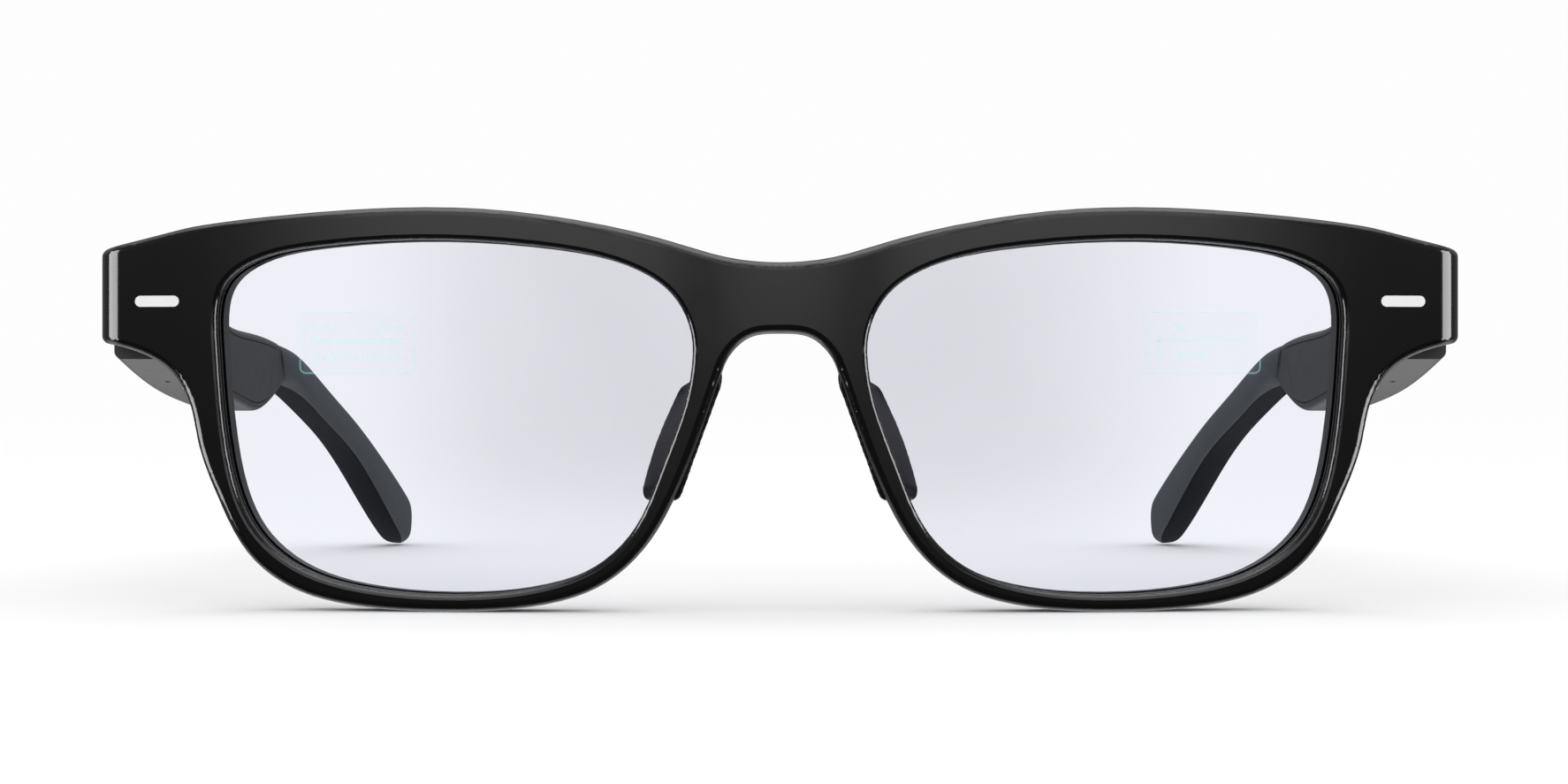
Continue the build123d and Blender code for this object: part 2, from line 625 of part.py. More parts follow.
with BuildSketch() as temple_side:
    with BuildLine():
        front_top = (at_depth(TEMPLE_START), HOUSING_TOP_Z)
        slope_end = (at_depth(TEMPLE_START + SLOPE_LENGTH), EAR_TOP_Z + SLOPE_END_RISE)
        upper_slope = Line(front_top, slope_end)
        tip_middle = (at_depth(TIP_DEPTH), TIP_RADIUS)
        tip_top = Vector(tip_middle) + Vector(0, TIP_RADIUS).rotate(Axis.Z, -TIP_SLOPE)
        upper = Spline(
            slope_end,
            (at_depth(along(0.70)), EAR_TOP_Z + 1.0),
            (at_depth(HOUSING_END), EAR_TOP_Z),
            (at_depth(ear_along(0.32)), ear_top(0.32)),
            (at_depth(ear_along(0.66)), ear_top(0.66)),
            tip_top,
            tangents=[upper_slope % 1, (cos(radians(TIP_SLOPE)), -sin(radians(TIP_SLOPE)))],
        )
        tip_bottom = (at_depth(TIP_DEPTH), 0)
        tip_round = ThreePointArc(tip_top, (at_depth(OVERALL_LENGTH), TIP_RADIUS), tip_bottom)
        notch = (at_depth(HOUSING_END + EAR_HEIGHT * tan(radians(SEAM_TILT))), EAR_TOP_Z - EAR_HEIGHT)
        ear_under = Spline(
            tip_bottom,
            (at_depth(ear_along(0.66)), ear_top(0.66) - EAR_HEIGHT * 1.12),
            (at_depth(ear_along(0.32)), ear_top(0.32) - EAR_HEIGHT * 1.03),
            notch,
            tangents=[(-1, 0), (-1, 0.15)],
            tangent_scalars=[0.5, 0.5],
        )
        housing_under = Spline(
            notch,
            (at_depth(along(0.93)), HOUSING_UNDER_Z - BULGE_DEPTH + 1.3),
            (at_depth(along(0.78)), HOUSING_UNDER_Z - BULGE_DEPTH),
            (at_depth(along(0.60)), HOUSING_UNDER_Z - BULGE_DEPTH + 0.7),
            (at_depth(along(0.38)), HOUSING_UNDER_Z - BULGE_DEPTH + 2.3),
            (at_depth(TEMPLE_START), HOUSING_UNDER_Z),
        )
        Line(housing_under @ 1, front_top)
    make_face()

with BuildSketch() as temple_plan:
    with BuildLine():
        tip_x = TEMPLE_INNER_X - TIP_INWARD
        outer_side = Spline(
            (TEMPLE_OUTER_X, at_depth(TEMPLE_START)),
            (TEMPLE_OUTER_X - 0.8, at_depth(along(0.45))),
            (TEMPLE_INNER_X - 2.0 + HOUSING_END_THICK, at_depth(HOUSING_END)),
            (TEMPLE_INNER_X - EAR_BEND + EAR_THICK, at_depth(ear_along(0.4))),
            (tip_x + TIP_THICK / 2, at_depth(TIP_DEPTH)),
            tangents=[(0, 1), (-0.13, 1)],
        )
        tip_end = Spline(
            outer_side @ 1,
            (tip_x, at_depth(OVERALL_LENGTH)),
            (tip_x - TIP_THICK / 2, at_depth(TIP_DEPTH)),
            tangents=[(-0.13, 1), (0.1, -1)],
        )
        inner_line = Line(
            (TEMPLE_INNER_X, at_depth(TEMPLE_START)), (TEMPLE_INNER_X - 2.0, at_depth(HOUSING_END + 2))
        )
        inner_side = Spline(
            inner_line @ 1,
            (TEMPLE_INNER_X - EAR_BEND, at_depth(ear_along(0.4))),
            (tip_x - TIP_THICK / 2, at_depth(TIP_DEPTH)),
            tangents=[inner_line % 1, (-0.1, 1)],
        )
        Line(inner_line @ 0, outer_side @ 0)
    make_face()


SEAM_TOP = (at_depth(HOUSING_END), EAR_TOP_Z)
SEAM_PLANE = Plane(
    origin=(0, *SEAM_TOP), z_dir=(0, cos(radians(SEAM_TILT)), sin(radians(SEAM_TILT)))
)


def from_views(side_view, plan_view):
    """The solid with a given side view and a given plan."""
    with BuildPart() as solid:
        with BuildSketch(Plane.YZ.offset(SIDE_X / 3)):
            add(side_view)
        extrude(amount=SIDE_X)
        with BuildSketch(Plane.XY.offset(-1)):
            add(plan_view)
        extrude(amount=FRONT_TOP, mode=Mode.INTERSECT)
    return solid.part


def side_view(wall):
    """The housing's side view without a wall of a given height all round."""
    seam_end = (SEAM_TOP[0] - wall / cos(radians(SEAM_TILT)), SEAM_TOP[1])
    with BuildSketch() as view:
        add(temple_side.sketch)
        for move in (-wall, wall):
            with Locations((0, move)):
                add(temple_side.sketch, mode=Mode.INTERSECT)
        with Locations(Location(seam_end, -SEAM_TILT)):
            Rectangle(HOUSING_LENGTH * 2, FRONT_TOP * 3, align=(Align.MAX, Align.CENTER), mode=Mode.INTERSECT)
        with Locations((at_depth(TEMPLE_START + COVER_START + wall), 0)):
            Rectangle(HOUSING_LENGTH * 2, FRONT_TOP * 3, align=(Align.MIN, Align.CENTER), mode=Mode.INTERSECT)
    return view.sketch


def plan_strip(near, far):
    """The temple's plan between two distances from its inner side, or from its outer side if they are negative."""
    with BuildSketch() as strip:
        add(temple_plan.sketch)
        with Locations((near, 0)):
            add(temple_plan.sketch, mode=Mode.INTERSECT)
        with Locations((far, 0)):
            add(temple_plan.sketch, mode=Mode.SUBTRACT)
    return strip.sketch


def plan_inside(wall):
    """The temple's plan without a wall at each side."""
    with BuildSketch() as view:
        add(temple_plan.sketch)
        for move in (-wall, wall):
            with Locations((move, 0)):
                add(temple_plan.sketch, mode=Mode.INTERSECT)
    return view.sketch


def cut_to_depth(piece, start, end):
    """The stretch of a temple piece between two shares of the housing's length."""
    return piece & box_between((SIDE_X / 3, SIDE_X * 2), (along(start), along(end)), (-1, FRONT_TOP * 2))


# ---- housing of the temple -------------------------------------------------------------------------
CAVITY_WALL = COVER_RIM + LEDGE
temple_blank = from_views(temple_side.sketch, temple_plan.sketch)
housing_blank = split(temple_blank, bisect_by=SEAM_PLANE, keep=Keep.BOTTOM)
housing_edges = housing_blank.edges().filter_by(Axis.Z, reverse=True)
housing_blank = fillet(housing_edges.filter_by(lambda edge: edge.length > TEMPLE_THICK * 1.5), HOUSING_FILLET)
ear_blank = split(temple_blank, bisect_by=SEAM_PLANE, keep=Keep.TOP)
ear_blank = fillet(ear_blank.edges().filter_by(lambda edge: edge.length > TIP_RADIUS * 2.5), EAR_FILLET)

cavity = from_views(side_view(CAVITY_WALL), plan_inside(WALL))
cover_seat = from_views(side_view(COVER_RIM), plan_strip(0, COVER_THICK))

with BuildPart() as ear_tip_core:
    core_points = [
        (HOUSING_END - 3.0, EAR_TOP_Z - EAR_HEIGHT * 0.45),
        (ear_along(0.32), ear_top(0.32) - EAR_HEIGHT * 0.50),
        (ear_along(0.66), ear_top(0.66) - EAR_HEIGHT * 0.55),
        (TIP_DEPTH - CORE_MARGIN, ear_top(1) - EAR_HEIGHT * 0.30),
    ]
    with BuildSketch(Plane.YZ.offset(SIDE_X / 3)):
        with BuildLine():
            core_upper = Spline(*[(at_depth(depth), z + CORE_HEIGHT / 2) for depth, z in core_points])
            core_lower = Spline(*[(at_depth(depth), z - CORE_HEIGHT / 2) for depth, z in core_points])
            Line(core_upper @ 0, core_lower @ 0)
            Line(core_upper @ 1, core_lower @ 1)
        make_face()
    extrude(amount=SIDE_X)
    core_middles = [
        (TEMPLE_INNER_X - 2.0 + HOUSING_END_THICK / 2, HOUSING_END - 3.0),
        (TEMPLE_INNER_X - EAR_BEND + EAR_THICK / 2, ear_along(0.4)),
        (TEMPLE_INNER_X - TIP_INWARD + 0.6, TIP_DEPTH - CORE_MARGIN),
    ]
    with BuildSketch(Plane.XY.offset(-1)):
        with BuildLine():
            core_outer = Spline(*[(x + CORE_THICK / 2, at_depth(depth)) for x, depth in core_middles])
            core_inner = Spline(*[(x - CORE_THICK / 2, at_depth(depth)) for x, depth in core_middles])
            Line(core_outer @ 0, core_inner @ 0)
            Line(core_outer @ 1, core_inner @ 1)
        make_face()
    extrude(amount=FRONT_TOP, mode=Mode.INTERSECT)

with BuildPart() as ear_tip:
    add(ear_blank)
    add(ear_tip_core.part, mode=Mode.SUBTRACT)

# ---- pieces in both temples ------------------------------------------------------------------------
TEMPLE_MIDDLE_X = TEMPLE_INNER_X + TEMPLE_THICK * 0.45
FLOOR_LIMIT = HOUSING_UNDER_Z + 2.4

touch_film = cut_to_depth(
    from_views(side_view(CAVITY_WALL + 0.6), plan_strip(-WALL, -WALL - TOUCH_THICK)),
    0.30,
    0.30 + TOUCH_LENGTH / HOUSING_LENGTH,
)
board_strip = plan_strip(-WALL - TOUCH_THICK, -WALL - TOUCH_THICK - BOARD_THICK)
circuit_board = cut_to_depth(from_views(side_view(CAVITY_WALL + FIT_GAP), board_strip), 0.24, 0.66)
battery_strip = plan_strip(COVER_THICK + FIT_GAP, COVER_THICK + FIT_GAP + BATTERY_THICK)
battery = cut_to_depth(
    from_views(side_view(CAVITY_WALL + FIT_GAP), battery_strip), 0.90 - BATTERY_LENGTH / HOUSING_LENGTH, 0.90
)
speaker_strip = plan_strip(COVER_THICK + FIT_GAP, COVER_THICK + FIT_GAP + SPEAKER_THICK)
speaker = from_views(side_view(CAVITY_WALL + FIT_GAP), speaker_strip) & box_between(
    (SIDE_X / 3, SIDE_X),
    (along(0.28), along(0.28) + SPEAKER_LENGTH),
    (0, HOUSING_UNDER_Z - BULGE_DEPTH / 2 + SPEAKER_HEIGHT),
)

GRILLE_DEPTH = (along(0.28) + 1.5, along(0.28) + 1.5 + GRILLE_LENGTH)
GRILLE_X = TEMPLE_INNER_X + COVER_THICK + FIT_GAP + SPEAKER_THICK / 2


def grille_plug(margin):
    """The stretch of the housing's underside that the speaker's grille takes."""
    slot = box_between(
        (GRILLE_X - GRILLE_WIDTH / 2 + margin, GRILLE_X + GRILLE_WIDTH / 2 - margin),
        (GRILLE_DEPTH[0] + margin, GRILLE_DEPTH[1] - margin),
        (0, FLOOR_LIMIT),
    )
    return (slot & housing_blank) - cavity


with BuildPart() as speaker_grille:
    add(grille_plug(FIT_GAP / 2))
    with BuildSketch():
        with Locations((GRILLE_X, at_depth(sum(GRILLE_DEPTH) / 2))):
            with GridLocations(GRILLE_WIDTH * 0.45, 1.0, 2, int(GRILLE_LENGTH - 1)):
                Circle(GRILLE_HOLE)
    extrude(amount=FRONT_TOP, mode=Mode.SUBTRACT)

microphone_space = box_between(
    (TEMPLE_MIDDLE_X, TEMPLE_MIDDLE_X + MICROPHONE_WIDTH * 0.6),
    (along(0) + COVER_START + CAVITY_WALL + FIT_GAP, along(0) + COVER_START + CAVITY_WALL + FIT_GAP + 1.6),
    (0, FLOOR_LIMIT - 0.4 + MICROPHONE_DEPTH),
)
temple_microphone = from_views(side_view(CAVITY_WALL), plan_inside(WALL)) & microphone_space
with BuildPart() as microphone_port:
    with BuildSketch():
        with Locations((temple_microphone.center().X, temple_microphone.center().Y)):
            Circle(MICROPHONE_PORT)
    extrude(amount=temple_microphone.center().Z)

with BuildPart() as temple_shell:
    add(housing_blank)
    add(cavity, mode=Mode.SUBTRACT)
    add(cover_seat, mode=Mode.SUBTRACT)
    add(ear_tip_core.part, mode=Mode.SUBTRACT)
    add(grille_plug(0), mode=Mode.SUBTRACT)
    add(microphone_port.part, mode=Mode.SUBTRACT)
    add(leaf_plate(True, HINGE_CLEARANCE), mode=Mode.SUBTRACT)
    add(hinge_barrel(HINGE_HEIGHT + 2, 0, HINGE_CLEARANCE), mode=Mode.SUBTRACT)
    add(temple_screws, mode=Mode.SUBTRACT)

temple_inner_cover = from_views(side_view(COVER_RIM + FIT_GAP), plan_strip(0, COVER_THICK))

# ---- pieces of the right temple only, modelled on the left -----------------------------------------
BUTTON_MIDDLE = upper_slope @ 0.77
BUTTON_ALONG = upper_slope % 0.77
BUTTON_PLANE = Plane(
    origin=(TEMPLE_MIDDLE_X - 0.2, BUTTON_MIDDLE.X, BUTTON_MIDDLE.Y),
    x_dir=(0, BUTTON_ALONG.X, BUTTON_ALONG.Y),
    z_dir=(0, -BUTTON_ALONG.Y, BUTTON_ALONG.X),
)
BUTTON_WALL = CAVITY_WALL * BUTTON_ALONG.X
FLANGE_TOP = -BUTTON_WALL - FIT_GAP
FLANGE_UNDER = FLANGE_TOP - BUTTON_FLANGE
SWITCH_TOP = FLANGE_UNDER - BUTTON_TRAVEL - 0.05

with BuildPart() as action_button:
    with BuildSketch(BUTTON_PLANE.offset(FLANGE_TOP)):
        SlotOverall(BUTTON_LENGTH, BUTTON_WIDTH)
    extrude(amount=BUTTON_PROUD - FLANGE_TOP)
    fillet(action_button.faces().sort_by(Axis.Z)[-1].edges(), radius=BUTTON_PROUD * 0.4)
    with BuildSketch(BUTTON_PLANE.offset(FLANGE_UNDER)):
        SlotOverall(BUTTON_LENGTH + 1.2, BUTTON_WIDTH + 1.0)
    extrude(amount=BUTTON_FLANGE)

with BuildPart() as button_hole:
    with BuildSketch(BUTTON_PLANE.offset(FLANGE_TOP)):
        SlotOverall(BUTTON_LENGTH + 2 * BUTTON_CLEARANCE, BUTTON_WIDTH + 2 * BUTTON_CLEARANCE)
    extrude(amount=BUTTON_PROUD - FLANGE_TOP)

with BuildPart() as button_switch:
    with BuildSketch(BUTTON_PLANE.offset(SWITCH_TOP)):
        Rectangle(BUTTON_LENGTH * 0.5, BUTTON_WIDTH)
    extrude(amount=-SWITCH_HEIGHT)

CONTACT_Z = HINGE_Z - 3.2
CONTACT_MIDDLE = inner_line @ 0.32
with BuildPart() as charging_contacts:
    contact_plane = Plane(
        origin=(CONTACT_MIDDLE.X - CONTACT_PROUD, CONTACT_MIDDLE.Y, CONTACT_Z),
        x_dir=(0, 1, 0),
        z_dir=(1, 0, 0),
    )
    with BuildSketch(contact_plane):
        with GridLocations(CONTACT_PITCH, 0, 2, 1):
            Circle(CONTACT_RADIUS)
    extrude(amount=CONTACT_PROUD + COVER_THICK + 0.4)

right_shell = temple_shell.part - button_hole.part
right_cover = temple_inner_cover - charging_contacts.part

# ---- every piece in its own file -------------------------------------------------------------------
write_piece(front_frame.part, "front_frame")
write_piece(frame_rear_cover.part, "frame_rear_cover")
write_piece(bridge_flex, "bridge_flex")
write_piece(bridge_microphones.part, "bridge_microphones")
write_pair(lens, "lens")
write_pair(lens_seal, "lens_seal")
write_pair(waveguide, "waveguide")
write_pair(display_grating.part, "display_grating")
write_pair(display_projector.part, "display_projector")
write_pair(end_piece_inlay.part, "end_piece_inlay")
write_pair(nose_pad.part, "nose_pad")
write_pair(pad_clip(0), "nose_pad_clip")
write_pair(hinge_front_leaf.part, "hinge_front_leaf")
write_pair(front_screws, "hinge_front_screws")
write_pair(hinge_pin.part, "hinge_pin")
write_pair(hinge_temple_leaf.part, "hinge_temple_leaf")
write_pair(temple_screws, "hinge_temple_screws")
write_pair(ear_tip.part, "ear_tip")
write_pair(ear_tip_core.part, "ear_tip_core")
write_pair(touch_film, "touch_film")
write_pair(circuit_board, "circuit_board")
write_pair(battery, "battery")
write_pair(speaker, "speaker")
write_pair(speaker_grille.part, "speaker_grille")
write_pair(temple_microphone, "temple_microphone")
write_piece(temple_shell.part, "left_temple_shell")
write_piece(temple_inner_cover, "left_temple_cover")
write_piece(mirror(right_shell, about=Plane.YZ), "right_temple_shell")
write_piece(mirror(right_cover, about=Plane.YZ), "right_temple_cover")
write_piece(mirror(action_button.part, about=Plane.YZ), "action_button")
write_piece(mirror(button_switch.part, about=Plane.YZ), "button_switch")
write_piece(mirror(charging_contacts.part, about=Plane.YZ), "charging_contacts")
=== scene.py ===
# %% [markdown]
# # Smart glasses, from the fixed frame to the finished picture
# The glasses come in as a frame of separate solids, each riding on its own body: the front, the two
# temples and one button. This lesson gives every solid a finish, and makes again in mesh code what a
# plain solid can't show: the soft nose pads, the rubber ear tips and the image in the display.

# %% Load the frame
import math

import bmesh
import bpy
from mathutils import Matrix, Vector


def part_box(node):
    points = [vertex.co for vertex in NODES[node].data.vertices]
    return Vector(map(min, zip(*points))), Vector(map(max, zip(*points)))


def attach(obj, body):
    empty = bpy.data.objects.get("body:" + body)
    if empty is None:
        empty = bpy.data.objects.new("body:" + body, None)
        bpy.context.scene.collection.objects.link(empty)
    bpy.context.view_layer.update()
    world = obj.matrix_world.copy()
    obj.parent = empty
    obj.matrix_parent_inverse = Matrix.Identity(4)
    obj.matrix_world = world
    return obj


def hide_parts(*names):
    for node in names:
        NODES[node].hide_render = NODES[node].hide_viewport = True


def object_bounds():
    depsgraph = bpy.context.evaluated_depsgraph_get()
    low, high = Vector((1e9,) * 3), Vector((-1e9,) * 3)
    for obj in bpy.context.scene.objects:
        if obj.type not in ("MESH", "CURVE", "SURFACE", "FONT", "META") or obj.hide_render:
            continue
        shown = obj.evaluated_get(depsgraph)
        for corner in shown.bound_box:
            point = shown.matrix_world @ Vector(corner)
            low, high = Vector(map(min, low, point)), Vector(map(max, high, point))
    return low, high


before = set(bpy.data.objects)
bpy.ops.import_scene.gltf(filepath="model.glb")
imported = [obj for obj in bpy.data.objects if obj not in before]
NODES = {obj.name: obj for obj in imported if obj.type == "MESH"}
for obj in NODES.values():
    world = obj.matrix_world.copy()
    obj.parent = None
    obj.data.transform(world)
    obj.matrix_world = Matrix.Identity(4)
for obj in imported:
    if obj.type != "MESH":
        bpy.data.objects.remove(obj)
CAD_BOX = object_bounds()
MM = 0.001
SIDES = {"left": 1, "right": -1}
print("nodes", len(NODES), "box", [round(c / MM, 1) for c in CAD_BOX[1] - CAD_BOX[0]])

# %% [markdown]
# ## The camera
# The glasses are seen straight from the front, from a third of a metre away, so that the temples shrink
# towards the ear tips. The camera stands level with the middle of the lenses. A longer lens from further
# away would flatten the temples, and a wider one would make the ear tips look lost in the distance.

# %% Camera
CAMERA_DISTANCE = 323.8 * MM
CAMERA_HEIGHT = 24.45 * MM
CAMERA_ASIDE = 0.44 * MM
CAMERA_LENS = 67.2  # focal length in mm
SENSOR_WIDTH = 36.0
NEAREST_SEEN = 10 * MM

camera_data = bpy.data.cameras.new("camera")
camera_data.lens = CAMERA_LENS
camera_data.sensor_width = SENSOR_WIDTH
camera_data.clip_start = NEAREST_SEEN
camera = bpy.data.objects.new("camera", camera_data)
camera.location = (CAMERA_ASIDE, CAD_BOX[0].y - CAMERA_DISTANCE, CAMERA_HEIGHT)
camera.rotation_euler = (math.radians(90), 0, 0)
bpy.context.scene.collection.objects.link(camera)
bpy.context.scene.camera = camera
bpy.context.scene.view_settings.view_transform = "Standard"
print("camera", [round(c, 4) for c in camera.location])

# %% [markdown]
# ## Shader sums
# A finish is easier to read as a sum than as a web of nodes. `Value` wraps one socket, and adding or
# multiplying it adds the Math node. `Finish` holds one node tree, a material's or the world's, and its
# `node` method adds any other node: settings first, then what goes into its sockets.


# %% Shader helpers
class Value:
    """One number socket of a shader, which can be used in sums."""

    def __init__(self, finish, socket):
        self.finish = finish
        self.socket = socket

    def _math(self, operation, first, second):
        summed = self.finish.node("ShaderNodeMath", {"operation": operation}, {0: first, 1: second})
        return Value(self.finish, summed.outputs[0])

    def __add__(self, other):
        return self._math("ADD", self, other)

    def __sub__(self, other):
        return self._math("SUBTRACT", self, other)

    def __rsub__(self, other):
        return self._math("SUBTRACT", other, self)

    def __mul__(self, other):
        return self._math("MULTIPLY", self, other)

    __radd__ = __add__
    __rmul__ = __mul__

    def smooth(self, low, high):
        """0 below low, 1 above high, and a soft step between them."""
        settings = {"interpolation_type": "SMOOTHSTEP"}
        step = self.finish.node("ShaderNodeMapRange", settings, {"Value": self, 1: low, 2: high})
        return Value(self.finish, step.outputs[0])

    def bell(self, middle, width):
        """1 at the middle, and 0 from a width away on both sides."""
        return self.smooth(middle - width, middle) * (1 - self.smooth(middle, middle + width))


class Finish:
    """A node tree being filled: a material's or the world's."""

    def __init__(self, name, owner=None):
        self.material = owner or bpy.data.materials.new(name)
        self.material.use_nodes = True
        self.tree = self.material.node_tree
        self.main = self.tree.nodes.get("Principled BSDF")

    def node(self, kind, settings=None, inputs=None):
        """Add a node of a kind, with its settings first and then what goes into its sockets."""
        added = self.tree.nodes.new(kind)
        for name, value in (settings or {}).items():
            setattr(added, name, value)
        for name, value in (inputs or {}).items():
            self.plug(added.inputs[name], value)
        return added

    def plug(self, socket, value):
        """Link a value or an output to a socket, or set the socket to a plain number or colour."""
        source = value.socket if isinstance(value, Value) else value
        if isinstance(source, bpy.types.NodeSocket):
            self.tree.links.new(source, socket)
        else:
            socket.default_value = source

    def set(self, **values):
        """Give sockets of the main shader a value or a link: base_color=... is its Base Color."""
        for name, value in values.items():
            title = " ".join(word.upper() if word == "ior" else word.title() for word in name.split("_"))
            self.plug(self.main.inputs[title], value)

    def axes(self):
        """X, Y and Z of the point in the frame, in metres."""
        place = self.node("ShaderNodeTexCoord").outputs["Object"]
        split = self.node("ShaderNodeSeparateXYZ", None, {0: place})
        return [Value(self, output) for output in split.outputs]

    def noise(self, size, detail=2.0):
        """Cloudy values around one half, with lumps of a size in metres."""
        place = self.node("ShaderNodeTexCoord").outputs["Object"]
        inputs = {"Vector": place, "Scale": 1 / size, "Detail": detail}
        return Value(self, self.node("ShaderNodeTexNoise", None, inputs).outputs[0])

    def mix(self, share, first, second):
        """The first colour turning into the second as the share goes from 0 to 1."""
        inputs = {0: share, 6: first, 7: second}
        return self.node("ShaderNodeMix", {"data_type": "RGBA", "clamp_factor": True}, inputs).outputs[2]

    def bump(self, height, strength, distance):
        """A normal for the main shader that follows a height."""
        inputs = {"Strength": strength, "Distance": distance, "Height": height}
        self.set(normal=self.node("ShaderNodeBump", None, inputs).outputs[0])


def grey(value, tint=(0.0, 0.0, 0.0)):
    """A colour near grey, with a small tint added."""
    return (value + tint[0], value + tint[1], value + tint[2], 1.0)


# %% [markdown]
# ## The table
# Glasses like these are shown on a seamless white table, which leaves only tight shadows where rims and
# ear tips touch down. A plain sheet far larger than the object does that. It is kept out of reflections
# and out of bounced light, because the surroundings below stand for both and are easier to steer.

# %% Table
TABLE_SIZE = 4.0
TABLE_GAP = 0.05 * MM  # keeps the sheet clear of the lowest points

half = TABLE_SIZE / 2
table_corners = [(-half, -half, 0), (half, -half, 0), (half, half, 0), (-half, half, 0)]
table_mesh = bpy.data.meshes.new("table")
table_mesh.from_pydata(table_corners, [], [(0, 1, 2, 3)])
table = bpy.data.objects.new("table", table_mesh)
table.location.z = CAD_BOX[0].z - TABLE_GAP
bpy.context.scene.collection.objects.link(table)
table_finish = Finish("table_white")
table_finish.set(base_color=grey(0.93), roughness=0.9, specular_ior_level=0.0)
table_mesh.materials.append(table_finish.material)
table.visible_glossy = False
table.visible_diffuse = False
print("table at", round(table.location.z / MM, 2), "mm")

# %% [markdown]
# ## The surroundings
# Polished black shows what it mirrors and hardly its own colour, so the surroundings are drawn for it as
# soft steps in the direction of a ray: X is aside, Y is ahead and Z is above. A mirrored ray meets a
# light panel in front that fades to the sides, with a dark band on each side of the bridge, a bright
# rear table and a bright sky. A ray straight from the camera sees white, and any other ray gathers
# soft light from above.

# %% Surroundings
BACKGROUND_WHITE = 0.985
FRONT_TO_REAR = (-0.35, 0.25)  # ahead: the front half turns into the rear half
PANEL_EDGE = (-0.07, 0.11)  # above: the lower edge of the panel in front
PANEL_LIGHT, FRONT_REST = 1.5, 0.07
SIDE_FADE, SIDE_DARKENING = (0.07, 0.20), 0.86  # aside squared: the panel fades to the sides
BAND_MIDDLE, BAND_WIDTH, BAND_DARKENING = 0.0045, 0.004, 0.9  # aside squared: beside the bridge
REAR_TABLE, REAR_TABLE_LIGHT = (0.25, 0.65), 1.25  # above, with its sign turned
REAR_WALL, REAR_WALL_LIGHT, REAR_REST = (0.0, 0.5), 0.3, 0.2  # above
SKY, SKY_LIGHT = (0.72, 0.98), 2.4  # above
SOFT_STEP, SOFT_LIGHT, SOFT_REST = (-0.35, 0.10), 0.90, 0.16  # above

world = Finish("", bpy.data.worlds.new("studio"))
bpy.context.scene.world = world.material
direction = world.node("ShaderNodeTexCoord").outputs["Generated"]
split = world.node("ShaderNodeSeparateXYZ", None, {0: direction})
aside, ahead, above = [Value(world, output) for output in split.outputs]
rays = world.node("ShaderNodeLightPath").outputs
seen = Value(world, rays["Is Camera Ray"])
mirrored = Value(world, rays["Is Glossy Ray"])

front_half = 1 - ahead.smooth(*FRONT_TO_REAR)
side_fall = 1 - (aside * aside).smooth(*SIDE_FADE) * SIDE_DARKENING
bridge_bands = 1 - (aside * aside).bell(BAND_MIDDLE, BAND_WIDTH) * BAND_DARKENING
front_light = above.smooth(*PANEL_EDGE) * side_fall * bridge_bands * PANEL_LIGHT + FRONT_REST
rear_table = (0 - above).smooth(*REAR_TABLE) * REAR_TABLE_LIGHT
rear_light = rear_table + above.smooth(*REAR_WALL) * REAR_WALL_LIGHT + REAR_REST
sky_light = above.smooth(*SKY) * SKY_LIGHT
reflected = front_half * front_light + (1 - front_half) * rear_light + sky_light
gathered = above.smooth(*SOFT_STEP) * SOFT_LIGHT + SOFT_REST
strength = seen * BACKGROUND_WHITE + mirrored * reflected + (1 - seen - mirrored) * gathered

backing = world.tree.nodes["Background"]
world.plug(backing.inputs["Color"], grey(1.0))
world.plug(backing.inputs["Strength"], strength)
print("surroundings made with", len(world.tree.nodes), "nodes")

# %% [markdown]
# ## The lamps
# A tall soft lamp at each side is mirrored as one bright strip on each end piece, and gives nothing
# else, so it is kept out of diffuse light. A third lamp, in front and above, only fills the shade, so it
# is kept out of reflections. Places and sizes are in metres, and powers in watts.

# %% Lamps
STRIP_ASIDE, STRIP_AHEAD, STRIP_HEIGHT = 0.44, -0.20, 0.06
STRIP_TARGET = (0, -0.06, 0.03)
STRIP_SIZE = (0.27, 0.34)
STRIP_POWER = 2.6
FILL_PLACE = (0, -0.62, 0.24)
FILL_TARGET = (0, 0, 0.02)
FILL_SIZE = (0.6, 0.3)
FILL_POWER = 1.1


def soft_light(name, place, target, size, power):
    """A rectangular light that faces a target."""
    data = bpy.data.lights.new(name, "AREA")
    data.shape = "RECTANGLE"
    data.size, data.size_y = size
    data.energy = power
    lamp = bpy.data.objects.new(name, data)
    lamp.location = place
    lamp.rotation_mode = "QUATERNION"
    lamp.rotation_quaternion = (Vector(place) - Vector(target)).to_track_quat("Z", "Y")
    bpy.context.scene.collection.objects.link(lamp)
    return lamp


for side, sign in SIDES.items():
    strip_place = (sign * STRIP_ASIDE, STRIP_AHEAD, STRIP_HEIGHT)
    strip = soft_light(f"{side}_strip", strip_place, STRIP_TARGET, STRIP_SIZE, STRIP_POWER)
    strip.visible_diffuse = False
fill_lamp = soft_light("front_fill", FILL_PLACE, FILL_TARGET, FILL_SIZE, FILL_POWER)
fill_lamp.visible_glossy = False
print("lamps", len(bpy.data.lights))


# %% [markdown]
# ## Black plastics
# Nothing on the real object is one flat colour. The front is polished and nearly black, with a faint
# cloudiness and a skin that isn't quite even. The temples are moulded with a fine grain and read as
# slate, and the pads are smooth silicone. Each finish is a short function for one material of the
# record, so a solid finds its finish by the name it came with.


# %% Black plastics
SLATE = (-0.001, 0.001, 0.003)  # added to a grey, it turns the grey a little blue


def glossy_frame(finish):
    cloud = finish.noise(9 * MM, 3)
    finish.set(base_color=finish.mix(cloud, grey(0.0018), grey(0.0034, (0, 0, 0.0004))))
    finish.set(roughness=finish.noise(3 * MM) * 0.04 + 0.09)
    finish.bump(finish.noise(2.5 * MM), 0.004, 0.02 * MM)


